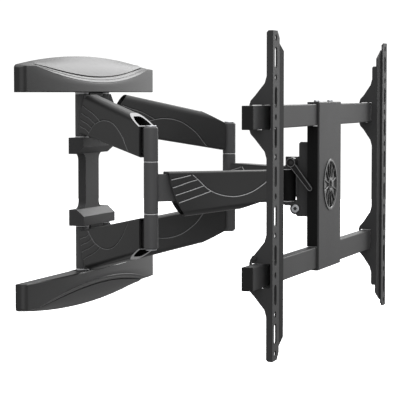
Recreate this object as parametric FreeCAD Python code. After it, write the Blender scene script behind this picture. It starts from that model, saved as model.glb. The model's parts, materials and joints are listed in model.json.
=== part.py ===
import FreeCAD, Part
import math
import os

# Full motion TV wall mount: a wall frame, two pairs of folding arms, a swivel head,
# a tilting TV frame and two TV brackets that slide on its rails. All in millimetres.
#
# The origin is the centre of the wall frame, on the wall. +X is to the right of a person
# who faces the wall, +Y points into the wall and +Z is up, so the TV hangs on the -Y side.
# The right-hand parts are built first, and the left-hand ones are their mirror images.

V = FreeCAD.Vector
UP = V(0, 0, 1)
ALONG_X = V(1, 0, 0)
TOWARDS_TV = V(0, -1, 0)

# Linkage: three vertical axes on each side
SHOULDER = V(40, -13, 0)
ELBOW = V(171, -172, 0)
HEAD_PIVOT = V(40, -331, 0)
ARM_LENGTH = SHOULDER.distanceToPoint(ELBOW)

# Pivots
PIN_R = 5.0
BORE_R = 5.06
BUSH_R = 6.5
KNUCKLE_R = 10.0
RIM = 0.8
CROWN_RIM = 2.0
GAP = 0.1
WASHER_T = 1.0
SHOULDER_LOW = 67.0
SHOULDER_HIGH = 129.0
ELBOW_MIDDLE = 35.5
ELBOW_TOP = 84.5
HEAD_KNUCKLE = 22.0

# Arm bars and their plastic sleeves, drawn in a side view (t along the arm, z up)
BAR_T = 6.0
SLEEVE_T = 25.0
SLEEVE_WALL = 2.5
CHANNEL_W = 20.0
SHELF_T = 2.0
RIDGE_R = 9.0
KEEL_R = 3.0
RIB_T = 4.0

# Wall frame
BLOCK_LOW = 41.0
BLOCK_HIGH = 65.0
BLOCK_HALF_W = 60.0
BLOCK_D = 24.0
WEB_HALF_W = 25.0
WEB_D = 12.3
COVER_LOW = 131.5
COVER_HALF_W = 248.0
COVER_WALL = 2.5
LENS_HALF_W = 213.0
PLATE_T = 3.0
PLATE_HALF_W = 225.0
PLATE_HIGH = 161.0
STUD_SPACING = 406.4
BOLT_ROW_Z = 150.0
LAG_SLOT_W = 9.0
LAG_SLOT_L = 30.0
LUG_D = 25.0
LUG_T = 5.0

# Swivel head and tilt
TILT_Y = -345.0
TILT_Z = -32.0
CLAMP_Y = -341.0
CLAMP_Z = 33.0
TILT_BOLT_R = 3.0
TILT_EAR_R = 8.4
CLAMP_EAR_R = 7.0
TILT_BACK = 5.0
TILT_FORWARD = 15.0
LUG_PLATE_T = 4.0
YOKE_HALF_W = 49.6
YOKE_T = 3.6
FLANGE_X = 50.0
FLANGE_T = 3.0

# TV frame
COLUMN_HALF_W = 60.0
COLUMN_HALF_H = 118.0
COLUMN_FRONT = -381.0
COLUMN_BACK = -363.5
SHEET_T = 3.0
RAIL_Z = 100.0
RAIL_H = 30.0
RAIL_D = 15.0
RAIL_HALF_L = 355.0
RAIL_WALL = 1.8
RAIL_BACK = COLUMN_FRONT + SHEET_T + RAIL_D
EMBLEM_R = 36.5

# TV brackets
VESA_W = 600.0
VESA_H = 400.0
VESA_HOLE_R = 4.2
HOLE_PITCH = 50.0
BRACKET_FACE = -390.0
BRACKET_HALF_L = 209.0
BRACKET_SHEET = 2.2
FACE_OUTER_W = 13.0
FACE_INNER_W = 15.8
STRIP_W = 26.5
WEB_DEPTH = 8.5
FLARE_DEPTH = 31.0
RAIL_ROOM = 0.6
SLOT_L = 27.0
SLOT_W = 10.4

# Lock screw of a bracket, just above the lower rail
LOCK_R = 2.5
LOCK_Y = -366.0
LOCK_Z = -77.5


# Helpers


def box(x, y, z):
    """Block between three (low, high) pairs."""
    return Part.makeBox(x[1] - x[0], y[1] - y[0], z[1] - z[0], V(x[0], y[0], z[0]))


def rod(radius, base, length, direction=UP):
    return Part.makeCylinder(radius, length, base, direction)


def side_slab(points, low, high):
    """Polygon of (y, z) points, extruded along X."""
    wire = Part.makePolygon([V(low, y, z) for y, z in points + points[:1]])
    return Part.Face(wire).extrude(V(high - low, 0, 0))


def front_slab(points, low, high):
    """Polygon of (x, z) points, extruded along Y."""
    wire = Part.makePolygon([V(x, low, z) for x, z in points + points[:1]])
    return Part.Face(wire).extrude(V(0, high - low, 0))


def slot(centre, length, width, depth, direction=TOWARDS_TV, along=ALONG_X):
    """Cutter for a slot with round ends, starting at its centre point."""
    reach = (length - width) / 2
    ends = [rod(width / 2, centre + along * side, depth, direction) for side in (-reach, reach)]
    across = along.cross(direction) * (width / 2)
    corners = [
        centre - along * reach - across,
        centre + along * reach - across,
        centre + along * reach + across,
        centre - along * reach + across,
    ]
    middle = Part.Face(Part.makePolygon(corners + corners[:1])).extrude(direction * depth)
    return middle.fuse(ends).removeSplitter()


def mirror_x(shape):
    return shape.mirror(V(0, 0, 0), V(1, 0, 0))


def mirror_z(shape):
    return shape.mirror(V(0, 0, 0), V(0, 0, 1))


def on_link(shape, start, end):
    """Move a shape drawn along +X from the origin so that it runs from start to end."""
    placed = shape.copy()
    placed.rotate(V(0, 0, 0), UP, math.degrees(math.atan2(end.y - start.y, end.x - start.x)))
    placed.translate(start)
    return placed


def runs_along_x(edge):
    run = edge.Vertexes[-1].Point - edge.Vertexes[0].Point
    return abs(run.x) > 0.9 * run.Length


def export(name, *solids):
    shape = solids[0] if len(solids) == 1 else Part.makeCompound(list(solids))
    shape.exportStep("parts/" + name + ".step")


def export_pair(name, *solids):
    """Write right_NAME as given and left_NAME as its mirror image."""
    export("right_" + name, *solids)
    export("left_" + name, *[mirror_x(solid) for solid in solids])


# Wall frame


def cover_depth(x):
    """Depth of a cover from the wall: bowed along its length, with rounded ends."""
    corner_r = 8.0
    straight = COVER_HALF_W - corner_r
    depth = 17.0 + 12.0 * (1 - (x / COVER_HALF_W) ** 2)
    past = max(0.0, abs(x) - straight)
    return depth - corner_r + math.sqrt(corner_r ** 2 - past ** 2)


def cover_front_z(x):
    """Height of the upper front edge, which dips in a long curve in the middle."""
    share = min(1.0, abs(x) / LENS_HALF_W)
    return 146.0 + 22.0 * share ** 2


def cover_back_z(x):
    """Height of the edge that lies on the wall."""
    return 169.0 + 16.0 * (1 - (x / COVER_HALF_W) ** 2)


def cover_body(inset):
    """Solid of the cover's outer shape, or of its hollow when inset is a wall thickness."""
    half_w = COVER_HALF_W - inset
    back = 1.0 if inset else 0.0
    even = [half_w * step / 12 for step in range(-11, 12)]
    ends = [half_w - 6.0, half_w - 2.5, half_w]
    sections = []
    for x in sorted(even + ends + [-end for end in ends]):
        at = x * COVER_HALF_W / half_w
        front = -cover_depth(at) + inset
        corners = [
            V(x, back, COVER_LOW + inset),
            V(x, back, cover_back_z(at) - inset),
            V(x, front, cover_front_z(at) - inset),
            V(x, front, COVER_LOW + inset),
        ]
        sections.append(Part.makePolygon(corners + corners[:1]))
    return Part.makeLoft(sections, True, True)


def top_cover():
    """Plastic cover of the wall plate, open to the wall, with room for the pivot lug."""
    lug_room = box((-58, 58), (-26, 1), (COVER_LOW - 1, COVER_LOW + COVER_WALL + 1))
    return cover_body(0).cut(cover_body(COVER_WALL)).cut(lug_room)


def top_wall_plate():
    """Steel plate with lag bolt slots, and the lug that holds the upper ends of two pins."""
    plate = box((-PLATE_HALF_W, PLATE_HALF_W), (-PLATE_T, 0), (COVER_LOW + 4, PLATE_HIGH))
    lug = box((-56, 56), (-LUG_D, 0), (COVER_LOW, COVER_LOW + LUG_T))
    plate = plate.fuse(lug).removeSplitter()
    for x in (-STUD_SPACING / 2, -STUD_SPACING / 4, STUD_SPACING / 4, STUD_SPACING / 2):
        centre = V(x, 1, BOLT_ROW_Z)
        plate = plate.cut(slot(centre, LAG_SLOT_L, LAG_SLOT_W, PLATE_T + 2))
    for x in (-SHOULDER.x, SHOULDER.x):
        plate = plate.cut(rod(PIN_R, V(x, SHOULDER.y, COVER_LOW - 1), LUG_T + 2))
    return plate


def spine():
    """I-shaped casting between the plates: a web, two blocks and two narrow strips."""
    fillet_r = 11.0
    web = box((-WEB_HALF_W, WEB_HALF_W), (-WEB_D, 0), (-BLOCK_LOW - 1, BLOCK_LOW + 1))
    chamfer_y = -BLOCK_D
    section = [
        (0, BLOCK_LOW),
        (-WEB_D, BLOCK_LOW),
        (chamfer_y, BLOCK_LOW + 10),
        (chamfer_y, BLOCK_HIGH),
        (0, BLOCK_HIGH),
    ]
    block = side_slab(section, -BLOCK_HALF_W, BLOCK_HALF_W)
    strip = box((-22, 22), (-PLATE_T, 0), (BLOCK_HIGH, COVER_LOW))
    half = block.fuse(strip)
    for side in (-1, 1):
        low = BLOCK_LOW - fillet_r
        inner = side * WEB_HALF_W
        outer = side * (WEB_HALF_W + fillet_r)
        x = (min(inner, outer), max(inner, outer))
        gusset = box(x, (-WEB_D, 0), (low, BLOCK_LOW))
        hollow = rod(fillet_r, V(outer, 1, low), WEB_D + 2, TOWARDS_TV)
        half = half.fuse(gusset.cut(hollow))
        pin_bore = rod(PIN_R, V(side * SHOULDER.x, SHOULDER.y, BLOCK_LOW + 6), BLOCK_HIGH)
        half = half.cut(pin_bore)
    pocket = box((-21, 21), (-WEB_D + 3, 1), (-BLOCK_LOW + 3, BLOCK_LOW - 3))
    return web.fuse([half, mirror_z(half)]).removeSplitter().cut(pocket)


def shoulder_pin():
    """Blind in the spine's block at the bottom, with a head above the lug."""
    shaft_low = BLOCK_LOW + 6
    head_low = COVER_LOW + LUG_T
    shaft = rod(PIN_R, V(SHOULDER.x, SHOULDER.y, shaft_low), head_low - shaft_low)
    head = rod(8.0, V(SHOULDER.x, SHOULDER.y, head_low), 3.5)
    return shaft.fuse(head).removeSplitter()


def washer(centre, low, high, radius=KNUCKLE_R):
    ring = rod(radius, V(centre.x, centre.y, low), high - low)
    return ring.cut(rod(BORE_R, V(centre.x, centre.y, low - 1), high - low + 2))


def make_wall_frame():
    export("cover_top", top_cover())
    export("cover_bottom", mirror_z(top_cover()))
    export("wall_plate_top", top_wall_plate())
    export("wall_plate_bottom", mirror_z(top_wall_plate()))
    export("spine", spine())
    upper = [shoulder_pin(), mirror_x(shoulder_pin())]
    export("shoulder_pins", *upper, *[mirror_z(pin) for pin in upper])
    rings = [
        washer(SHOULDER, BLOCK_HIGH, SHOULDER_LOW - GAP),
        washer(SHOULDER, SHOULDER_HIGH + GAP, COVER_LOW),
    ]
    rings += [mirror_x(ring) for ring in rings]
    export("shoulder_washers", *rings, *[mirror_z(ring) for ring in rings])


# Arms


def bar(profile, knuckles):
    """Flat steel bar along X with a bored knuckle (t, low, high, upper rim) at each end."""
    wire = Part.makePolygon([V(t, -BAR_T / 2, z) for t, z in profile + profile[:1]])
    plate = Part.Face(wire).extrude(V(0, BAR_T, 0))
    for t, low, high, upper_rim in knuckles:
        barrel = rod(KNUCKLE_R, V(t, 0, low), high - low)
        for z, rim in ((low, RIM), (high, upper_rim)):
            edges = [e for e in barrel.Edges if e.Closed and abs(e.CenterOfMass.z - z) < 0.1]
            barrel = barrel.makeChamfer(rim, edges)
        plate = plate.fuse(barrel)
    for t, low, high, _ in knuckles:
        plate = plate.cut(rod(BUSH_R, V(t, 0, low - 1), high - low + 2))
    return plate.removeSplitter()


def bush(t, low, high):
    sleeve = rod(BUSH_R, V(t, 0, low), high - low)
    return sleeve.cut(rod(BORE_R, V(t, 0, low - 1), high - low + 2))


def sleeve_prism(outline, half_width):
    """Side outline made of (t, z) edges, extruded to both sides of the arm's plane."""
    face = Part.Face(Part.Wire(outline))
    face.translate(V(0, -half_width, 0))
    return face.extrude(V(0, 2 * half_width, 0))


def side_polygon(points):
    corners = [V(t, 0, z) for t, z in points + points[:1]]
    return [Part.makeLine(a, b) for a, b in zip(corners, corners[1:])]


def cable_sleeve(edge, top_end, mouth_end, bottom_end, shelf):
    """Hollow plastic sleeve, drawn with its cable channel on top.

    edge        three (t, z) points of the curved near edge, from its foot to its top
    top_end     where the channel's roof stops and its slanted mouth begins
    mouth_end   lower end of the slanted mouth
    bottom_end  far end of the bottom line
    shelf       two points on top of the shelf that parts the bar from the channel
    """
    foot, middle, top = [V(t, 0, z) for t, z in edge]
    far = bottom_end[0] + 10
    roof_slope = (top_end[1] - top.z) / (top_end[0] - top.x)
    keel_slope = (bottom_end[1] - foot.z) / (bottom_end[0] - foot.x)
    roof_far = V(far, 0, top.z + roof_slope * (far - top.x))
    keel_far = V(far, 0, foot.z + keel_slope * (far - foot.x))
    outline = [
        Part.Arc(foot, middle, top).toShape(),
        Part.makeLine(top, roof_far),
        Part.makeLine(roof_far, keel_far),
        Part.makeLine(keel_far, foot),
    ]
    solid = sleeve_prism(outline, SLEEVE_T / 2)
    ridge = [e for e in solid.Edges if runs_along_x(e) and e.CenterOfMass.z > middle.z]
    solid = solid.makeFillet(RIDGE_R, ridge)
    keel = [e for e in solid.Edges if runs_along_x(e) and e.CenterOfMass.z < middle.z - KEEL_R]
    solid = solid.makeFillet(KEEL_R, keel)

    sky = top.z + 50
    mouth = [top_end, mouth_end, (far + 10, mouth_end[1]), (far + 10, sky), (top_end[0], sky)]
    solid = solid.cut(sleeve_prism(side_polygon(mouth), SLEEVE_T))
    solid = solid.cut(box((bottom_end[0], far + 10), (-SLEEVE_T, SLEEVE_T), (-sky, sky)))

    near = 0.0
    channel_far = mouth_end[0]
    roof = SLEEVE_WALL + 0.1
    channel_far_z = top.z - roof + roof_slope * (channel_far - top.x)
    channel = [
        (near, shelf[0][1]),
        (near, top.z - roof + roof_slope * (near - top.x)),
        (channel_far, channel_far_z),
        (channel_far, shelf[1][1]),
        shelf[1],
    ]
    channel = sleeve_prism(side_polygon(channel), CHANNEL_W / 2)
    above_shelf = (top.z + shelf[1][1]) / 2
    crown = [e for e in channel.Edges if runs_along_x(e) and e.CenterOfMass.z > above_shelf]
    crown_r = min(RIDGE_R - SLEEVE_WALL, channel_far_z - shelf[1][1] - 0.5)
    channel = channel.makeFillet(crown_r, crown)

    bar_room = [
        (near, foot.z + SLEEVE_WALL + keel_slope * (near - foot.x)),
        (near, shelf[0][1] - SHELF_T),
        (shelf[1][0], shelf[1][1] - SHELF_T),
        (far, shelf[1][1] - SHELF_T),
        (far, keel_far.z + SLEEVE_WALL),
    ]
    hollow = sleeve_prism(side_polygon(bar_room), CHANNEL_W / 2)
    for t in (top.x + 4, top_end[0]):
        hollow = hollow.cut(box((t, t + RIB_T), (-SLEEVE_T, SLEEVE_T), (-sky, sky)))
    hollow = hollow.fuse(sleeve_prism(side_polygon(bar_room), BAR_T / 2))
    return solid.cut(channel).cut(hollow)


def wall_arm_bar():
    profile = [
        (0, SHOULDER_LOW),
        (0, SHOULDER_HIGH),
        (12, SHOULDER_HIGH),
        (20, 107.3),
        (150, 83.0),
        (ARM_LENGTH, 83.0),
        (ARM_LENGTH, 38.0),
        (196, 44.6),
        (14, 74.6),
        (10, SHOULDER_LOW),
    ]
    elbow_low = ELBOW_MIDDLE + WASHER_T
    shoulder = (0, SHOULDER_LOW, SHOULDER_HIGH, RIM)
    return bar(profile, [shoulder, (ARM_LENGTH, elbow_low, ELBOW_TOP, CROWN_RIM)])


def wall_arm_sleeve():
    return cable_sleeve(
        edge=[(14, 71.5), (18.5, 97), (36, 128)],
        top_end=(157, 102.5),
        mouth_end=(193.5, 84.5),
        bottom_end=(194.5, 41.8),
        shelf=[(0, 114.0), (150, 85.3)],
    )


def forearm_bar():
    half_h = 19.0
    profile = [(0, -half_h), (0, half_h), (ARM_LENGTH, half_h), (ARM_LENGTH, -half_h)]
    elbow = ELBOW_MIDDLE - GAP
    return bar(profile, [(0, -elbow, elbow, RIM), (ARM_LENGTH, -HEAD_KNUCKLE, HEAD_KNUCKLE, RIM)])


def forearm_sleeve():
    """The forearm's cable channel hangs below its bar."""
    upside_down = cable_sleeve(
        edge=[(22, -22), (29.5, 10), (48, 40)],
        top_end=(128, 31.6),
        mouth_end=(156, 22.6),
        bottom_end=(180, -22),
        shelf=[(0, 21.3), (150, 21.3)],
    )
    return mirror_z(upside_down)


def elbow_pin():
    """Pin through all three elbow knuckles, held by the two wall arms."""
    top = ELBOW_TOP - 1.5
    return rod(PIN_R, V(ARM_LENGTH, 0, -top), 2 * top)


def elbow_cap():
    """Round cap over the elbow pin's end, with a low head on the knuckle's top."""
    plug = rod(BUSH_R, V(ARM_LENGTH, 0, ELBOW_TOP - 1.5), 1.5)
    head = rod(KNUCKLE_R - CROWN_RIM - 0.3, V(ARM_LENGTH, 0, ELBOW_TOP), 1.6)
    rims = [edge for edge in head.Edges if edge.Closed and edge.CenterOfMass.z > ELBOW_TOP + 1]
    return plug.fuse(head.makeFillet(1.2, rims)).removeSplitter()


def make_arms():
    def placed(shape):
        return on_link(shape, SHOULDER, ELBOW)

    elbow_low = ELBOW_MIDDLE + WASHER_T
    end_t = ARM_LENGTH
    export_pair("upper_bar", placed(wall_arm_bar()))
    export_pair("lower_bar", placed(mirror_z(wall_arm_bar())))
    export_pair("upper_sleeve", placed(wall_arm_sleeve()))
    export_pair("lower_sleeve", placed(mirror_z(wall_arm_sleeve())))
    export_pair("elbow_pin", placed(elbow_pin()))
    ring = washer(V(end_t, 0, 0), ELBOW_MIDDLE, elbow_low)
    export_pair("elbow_washers", placed(ring), placed(mirror_z(ring)))
    export_pair("elbow_caps", placed(elbow_cap()), placed(mirror_z(elbow_cap())))
    bushes = [bush(0, SHOULDER_LOW, SHOULDER_HIGH), bush(end_t, elbow_low, ELBOW_TOP - 1.5)]
    bushes += [mirror_z(shape) for shape in bushes]
    export_pair("arm_bushes", *[placed(shape) for shape in bushes])


def make_forearms():
    def placed(shape):
        return on_link(shape, ELBOW, HEAD_PIVOT)

    elbow = ELBOW_MIDDLE - GAP
    export_pair("forearm_bar", placed(forearm_bar()))
    export_pair("forearm_sleeve", placed(forearm_sleeve()))
    bushes = [bush(0, -elbow, elbow), bush(ARM_LENGTH, -HEAD_KNUCKLE, HEAD_KNUCKLE)]
    export_pair("forearm_bushes", *[placed(shape) for shape in bushes])


# Swivel head


def tilt_arc(angle):
    """Where the clamp bolt stands when the TV frame is tilted by an angle in degrees."""
    turn = math.radians(angle)
    y = CLAMP_Y - TILT_Y
    z = CLAMP_Z - TILT_Z
    return (
        TILT_Y + y * math.cos(turn) - z * math.sin(turn),
        TILT_Z + y * math.sin(turn) + z * math.cos(turn),
    )


def arc_slot(low_x, high_x):
    """Cutter that follows the clamp bolt over the whole tilt, with a little room."""
    radius = TILT_BOLT_R + 0.4
    steps = 10
    first = -TILT_BACK - 0.5
    span = TILT_FORWARD + TILT_BACK + 1.0
    centres = [tilt_arc(first + span * step / steps) for step in range(steps + 1)]
    cutter = rod(radius, V(low_x, *centres[0]), high_x - low_x, ALONG_X)
    for (y0, z0), (y1, z1) in zip(centres, centres[1:]):
        length = math.hypot(y1 - y0, z1 - z0)
        across_y = (z1 - z0) / length * radius
        across_z = -(y1 - y0) / length * radius
        corners = [
            (y0 - across_y, z0 - across_z),
            (y1 - across_y, z1 - across_z),
            (y1 + across_y, z1 + across_z),
            (y0 + across_y, z0 + across_z),
        ]
        cutter = cutter.fuse(side_slab(corners, low_x, high_x))
        cutter = cutter.fuse(rod(radius, V(low_x, y1, z1), high_x - low_x, ALONG_X))
    return cutter


def head_yoke():
    """Two pivot lugs joined by a front plate, with a slotted cheek on each side."""
    front_y = (-349.0, -345.5)
    lug_low = HEAD_KNUCKLE + WASHER_T + GAP
    lug_high = lug_low + LUG_PLATE_T
    half_w = YOKE_HALF_W
    yoke = box((-half_w, half_w), front_y, (-40, 41))
    for low, high in ((lug_low, lug_high), (-lug_high, -lug_low)):
        lug = box((-half_w, half_w), (front_y[0], -331), (low, high))
        for side in (-1, 1):
            lug = lug.fuse(rod(KNUCKLE_R - 0.4, V(side * HEAD_PIVOT.x, HEAD_PIVOT.y, low), high - low))
        yoke = yoke.fuse(lug)
    cheek = [
        (-366, -39.5),
        (-366, 41),
        (-329, 41),
        (-329, lug_high),
        (-345.5, lug_high),
        (-345.5, -lug_high),
        (-338.5, -lug_high),
        (-338.5, -39.5),
    ]
    for low_x in (-half_w, half_w - YOKE_T):
        high_x = low_x + YOKE_T
        side_plate = side_slab(cheek, low_x, high_x)
        yoke = yoke.fuse(side_plate)
    yoke = yoke.cut(arc_slot(-half_w - 1, half_w + 1))
    yoke = yoke.cut(rod(TILT_BOLT_R + 0.06, V(-half_w - 1, TILT_Y, TILT_Z), 2 * half_w + 2, ALONG_X))
    for side in (-1, 1):
        yoke = yoke.cut(rod(PIN_R, V(side * HEAD_PIVOT.x, HEAD_PIVOT.y, -50), 100))
    return yoke.removeSplitter()


def head_pin():
    """Pin with a low head above the upper lug and a rivet foot below the lower one."""
    reach = HEAD_KNUCKLE + WASHER_T + GAP + LUG_PLATE_T
    at = HEAD_PIVOT
    shaft = rod(PIN_R, V(at.x, at.y, -reach), 2 * reach)
    head = rod(5.9, V(at.x, at.y, reach), 1.6)
    foot = rod(5.9, V(at.x, at.y, -reach - 1.6), 1.6)
    return shaft.fuse([head, foot]).removeSplitter()


def make_head():
    export("head_yoke", head_yoke())
    export("head_pins", head_pin(), mirror_x(head_pin()))
    ring = washer(HEAD_PIVOT, HEAD_KNUCKLE + GAP, HEAD_KNUCKLE + GAP + WASHER_T, KNUCKLE_R - 0.4)
    rings = [ring, mirror_x(ring)]
    export("head_washers", *rings, *[mirror_z(shape) for shape in rings])


# TV frame


def tilt_bracket():
    """U-shaped bracket: its base is welded inside the column, its flanges hold the bolts."""
    outer_x = FLANGE_X + FLANGE_T
    base_y = (COLUMN_FRONT + SHEET_T, COLUMN_FRONT + 2 * SHEET_T)
    bracket = box((-outer_x, outer_x), base_y, (-43, 62))
    outline = [
        (base_y[1], -43),
        (base_y[1], 62),
        (-352, 62),
        (-349.7, 59.7),
        (-349.7, 38),
        (-345, CLAMP_Z + CLAMP_EAR_R),
        (CLAMP_Y, CLAMP_Z + CLAMP_EAR_R),
        (CLAMP_Y, CLAMP_Z - CLAMP_EAR_R),
        (-347, CLAMP_Z - CLAMP_EAR_R),
        (-349.7, 22),
        (-349.7, -14),
        (-346.5, -18),
        (TILT_Y, TILT_Z + TILT_EAR_R),
        (TILT_Y, TILT_Z - TILT_EAR_R),
        (-348, -43),
    ]
    for low_x in (-outer_x, FLANGE_X):
        flange = side_slab(outline, low_x, low_x + FLANGE_T)
        ears = ((TILT_Y, TILT_Z, TILT_EAR_R), (CLAMP_Y, CLAMP_Z, CLAMP_EAR_R))
        for y, z, radius in ears:
            flange = flange.fuse(rod(radius, V(low_x, y, z), FLANGE_T, ALONG_X))
        bracket = bracket.fuse(flange)
    for y, z in ((TILT_Y, TILT_Z), (CLAMP_Y, CLAMP_Z)):
        bracket = bracket.cut(rod(TILT_BOLT_R, V(-outer_x - 1, y, z), 2 * outer_x + 2, ALONG_X))
    return bracket.removeSplitter()


def hex_socket(base, direction, across=4.0, depth=1.6):
    """Cutter for a hexagon socket in a bolt head that faces along X."""
    radius = across / math.sqrt(3)
    angles = [math.radians(60 * step) for step in range(6)]
    corners = [V(0, radius * math.cos(a), radius * math.sin(a)) + base for a in angles]
    return Part.Face(Part.makePolygon(corners + corners[:1])).extrude(direction * depth)


def tilt_pivot_bolt():
    """Zinc plated bolt across the head, on the tilt axis, with a nut at its far end."""
    reach = FLANGE_X + FLANGE_T
    head_t = 3.2
    shaft = rod(TILT_BOLT_R, V(-reach, TILT_Y, TILT_Z), 2 * reach + 5, ALONG_X)
    head = rod(5.8, V(-reach - head_t, TILT_Y, TILT_Z), head_t, ALONG_X)
    rims = [e for e in head.Edges if e.Closed and e.CenterOfMass.x < -reach - 0.5 * head_t]
    head = head.makeFillet(1.2, rims)
    head = head.cut(hex_socket(V(-reach - head_t, TILT_Y, TILT_Z), ALONG_X))
    return shaft.fuse(head).removeSplitter()


def tilt_pivot_nut():
    base = V(FLANGE_X + FLANGE_T, TILT_Y, TILT_Z)
    body = hex_socket(base, ALONG_X, across=10.0, depth=5.0)
    return body.cut(rod(TILT_BOLT_R, base - ALONG_X, 8, ALONG_X))


def clamp_bolt():
    """Bolt that the lever tightens; it rides in the yoke's curved slots."""
    low_x = -FLANGE_X - FLANGE_T - 12
    high_x = FLANGE_X + FLANGE_T
    shaft = rod(TILT_BOLT_R, V(low_x, CLAMP_Y, CLAMP_Z), high_x - low_x, ALONG_X)
    head = rod(6.5, V(high_x, CLAMP_Y, CLAMP_Z), 4.5, ALONG_X)
    return shaft.fuse(head).removeSplitter()


def lever_spacer():
    """Plastic collar between the flange and the lever's hub."""
    x = -FLANGE_X - FLANGE_T - 2.0
    ring = rod(7.5, V(x, CLAMP_Y, CLAMP_Z), 2.0, ALONG_X)
    return ring.cut(rod(TILT_BOLT_R, V(x - 1, CLAMP_Y, CLAMP_Z), 4, ALONG_X))


def tilt_lever():
    """Clamp lever: a round hub on the bolt and a tapered handle that points down and forward."""
    near = V(-FLANGE_X - FLANGE_T - 2.2, CLAMP_Y, CLAMP_Z)
    hub_l = 10.8
    handle_t = 4.6
    hub = rod(7.5, near - ALONG_X * hub_l, hub_l, ALONG_X)
    tip = V(near.x, -369.0, -3.0)
    along = tip - near
    along.normalize()
    across = V(0, -along.z, along.y)
    root_half_w = 4.2
    tip_half_w = 3.4
    corners = [
        near + across * root_half_w,
        tip + across * tip_half_w,
        tip - across * tip_half_w,
        near - across * root_half_w,
    ]
    handle = Part.Face(Part.makePolygon(corners + corners[:1])).extrude(ALONG_X * handle_t)
    end = rod(tip_half_w, tip, handle_t, ALONG_X)
    for piece in (handle, end):
        piece.translate(-ALONG_X * hub_l)
    lever = hub.fuse([handle, end])
    return lever.cut(rod(TILT_BOLT_R + 0.06, near - ALONG_X * 20, 40, ALONG_X)).removeSplitter()


def centre_column():
    """Folded sheet: front, two sides between the rails, and flanges over and under the rails."""
    half_w = COLUMN_HALF_W
    half_h = COLUMN_HALF_H
    front_y = (COLUMN_FRONT, COLUMN_FRONT + SHEET_T)
    column = box((-half_w, half_w), front_y, (-half_h, half_h))
    upright = [edge for edge in column.Edges if abs(edge.CenterOfMass.y - front_y[0]) < 0.1]
    column = column.makeFillet(1.5, upright)
    side_z = RAIL_Z - RAIL_H / 2 - 0.5
    for low_x in (-half_w, half_w - SHEET_T):
        side = box((low_x, low_x + SHEET_T), (front_y[1], COLUMN_BACK), (-side_z, side_z))
        column = column.fuse(side)
    flange = box((-half_w, half_w), (front_y[1], COLUMN_BACK), (half_h - SHEET_T, half_h))
    for x in (-36, 36):
        flange = flange.cut(rod(2.0, V(x, -370.5, half_h - 5), 10))
    column = column.fuse([flange, mirror_z(flange)]).removeSplitter()
    return column.cut(rod(EMBLEM_R, V(0, front_y[1] + 1, 0), SHEET_T + 2, TOWARDS_TV))


def emblem_disc():
    """Round plastic insert in the column's front, standing a little proud of the sheet."""
    disc = rod(EMBLEM_R, V(0, COLUMN_FRONT + SHEET_T, 0), SHEET_T + 1.2, TOWARDS_TV)
    dish = rod(EMBLEM_R - 4.0, V(0, COLUMN_FRONT + 0.4, 0), 5, TOWARDS_TV)
    return disc.cut(dish)


def rail(z):
    y = (RAIL_BACK - RAIL_D, RAIL_BACK)
    outer = box((-RAIL_HALF_L, RAIL_HALF_L), y, (z - RAIL_H / 2, z + RAIL_H / 2))
    outer = outer.makeFillet(1.5, [edge for edge in outer.Edges if runs_along_x(edge)])
    w = RAIL_WALL
    bore = box(
        (-RAIL_HALF_L - 1, RAIL_HALF_L + 1),
        (y[0] + w, y[1] - w),
        (z - RAIL_H / 2 + w, z + RAIL_H / 2 - w),
    )
    tube = outer.cut(bore)
    screw_side = 1 if z > 0 else -1
    for x in (-36, 36):
        tube = tube.cut(rod(2.0, V(x, -370.5, z + screw_side * RAIL_H / 2 - 3), 6))
    return tube


def rail_end_cap(z):
    """Cap of a rail's right end: a lid and a plug that fills the tube's mouth."""
    w = RAIL_WALL
    y = (RAIL_BACK - RAIL_D, RAIL_BACK)
    lid = box((RAIL_HALF_L, RAIL_HALF_L + 2.5), y, (z - RAIL_H / 2, z + RAIL_H / 2))
    plug = box(
        (RAIL_HALF_L - 9, RAIL_HALF_L),
        (y[0] + w, y[1] - w),
        (z - RAIL_H / 2 + w, z + RAIL_H / 2 - w),
    )
    return lid.fuse(plug).removeSplitter()


def column_screw():
    """Pan head screw that holds the upper rail in the column."""
    top = COLUMN_HALF_H
    at = V(36, -370.5, 0)
    shaft = rod(2.0, V(at.x, at.y, top - 7), 7)
    head = rod(4.0, V(at.x, at.y, top), 2.6)
    head = head.makeFillet(1.0, [e for e in head.Edges if e.Closed and e.CenterOfMass.z > top + 2])
    return shaft.fuse(head).removeSplitter()


def make_tv_frame():
    export("centre_column", centre_column())
    export("emblem_disc", emblem_disc())
    export("tilt_bracket", tilt_bracket())
    export("tilt_pivot_bolt", tilt_pivot_bolt())
    export("tilt_pivot_nut", tilt_pivot_nut())
    export("clamp_bolt", clamp_bolt())
    export("lever_spacer", lever_spacer())
    export("tilt_lever", tilt_lever())
    export("rail_top", rail(RAIL_Z))
    export("rail_bottom", rail(-RAIL_Z))
    caps = [rail_end_cap(RAIL_Z), rail_end_cap(-RAIL_Z)]
    export("rail_end_caps", *caps, *[mirror_x(cap) for cap in caps])
    screws = [column_screw(), mirror_x(column_screw())]
    export("column_screws", *screws, *[mirror_z(screw) for screw in screws])


# TV brackets, drawn with the hole column on x = 0 and the TV frame's centre towards -x


def web_outline(face_y, half_length, corner):
    """Side view of a bracket web: shallow, with a deep flare round each rail."""
    shallow = face_y + WEB_DEPTH
    deep = BRACKET_FACE + FLARE_DEPTH
    bulge = [
        (shallow, 52),
        (shallow + 2.5, 43),
        (deep - 7, 27),
        (deep - 1.5, 21),
        (deep, 16),
    ]
    above = [(y, RAIL_Z + z) for y, z in bulge]
    below = [(y, RAIL_Z - z) for y, z in reversed(bulge)]
    rear = above + below
    rear += [(y, -z) for y, z in reversed(rear)]
    start = [(face_y, half_length), (shallow - corner, half_length), (shallow, half_length - corner)]
    end = [(y, -z) for y, z in reversed(start)]
    return [point for point in start + rear + end if abs(point[1]) <= half_length]


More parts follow.
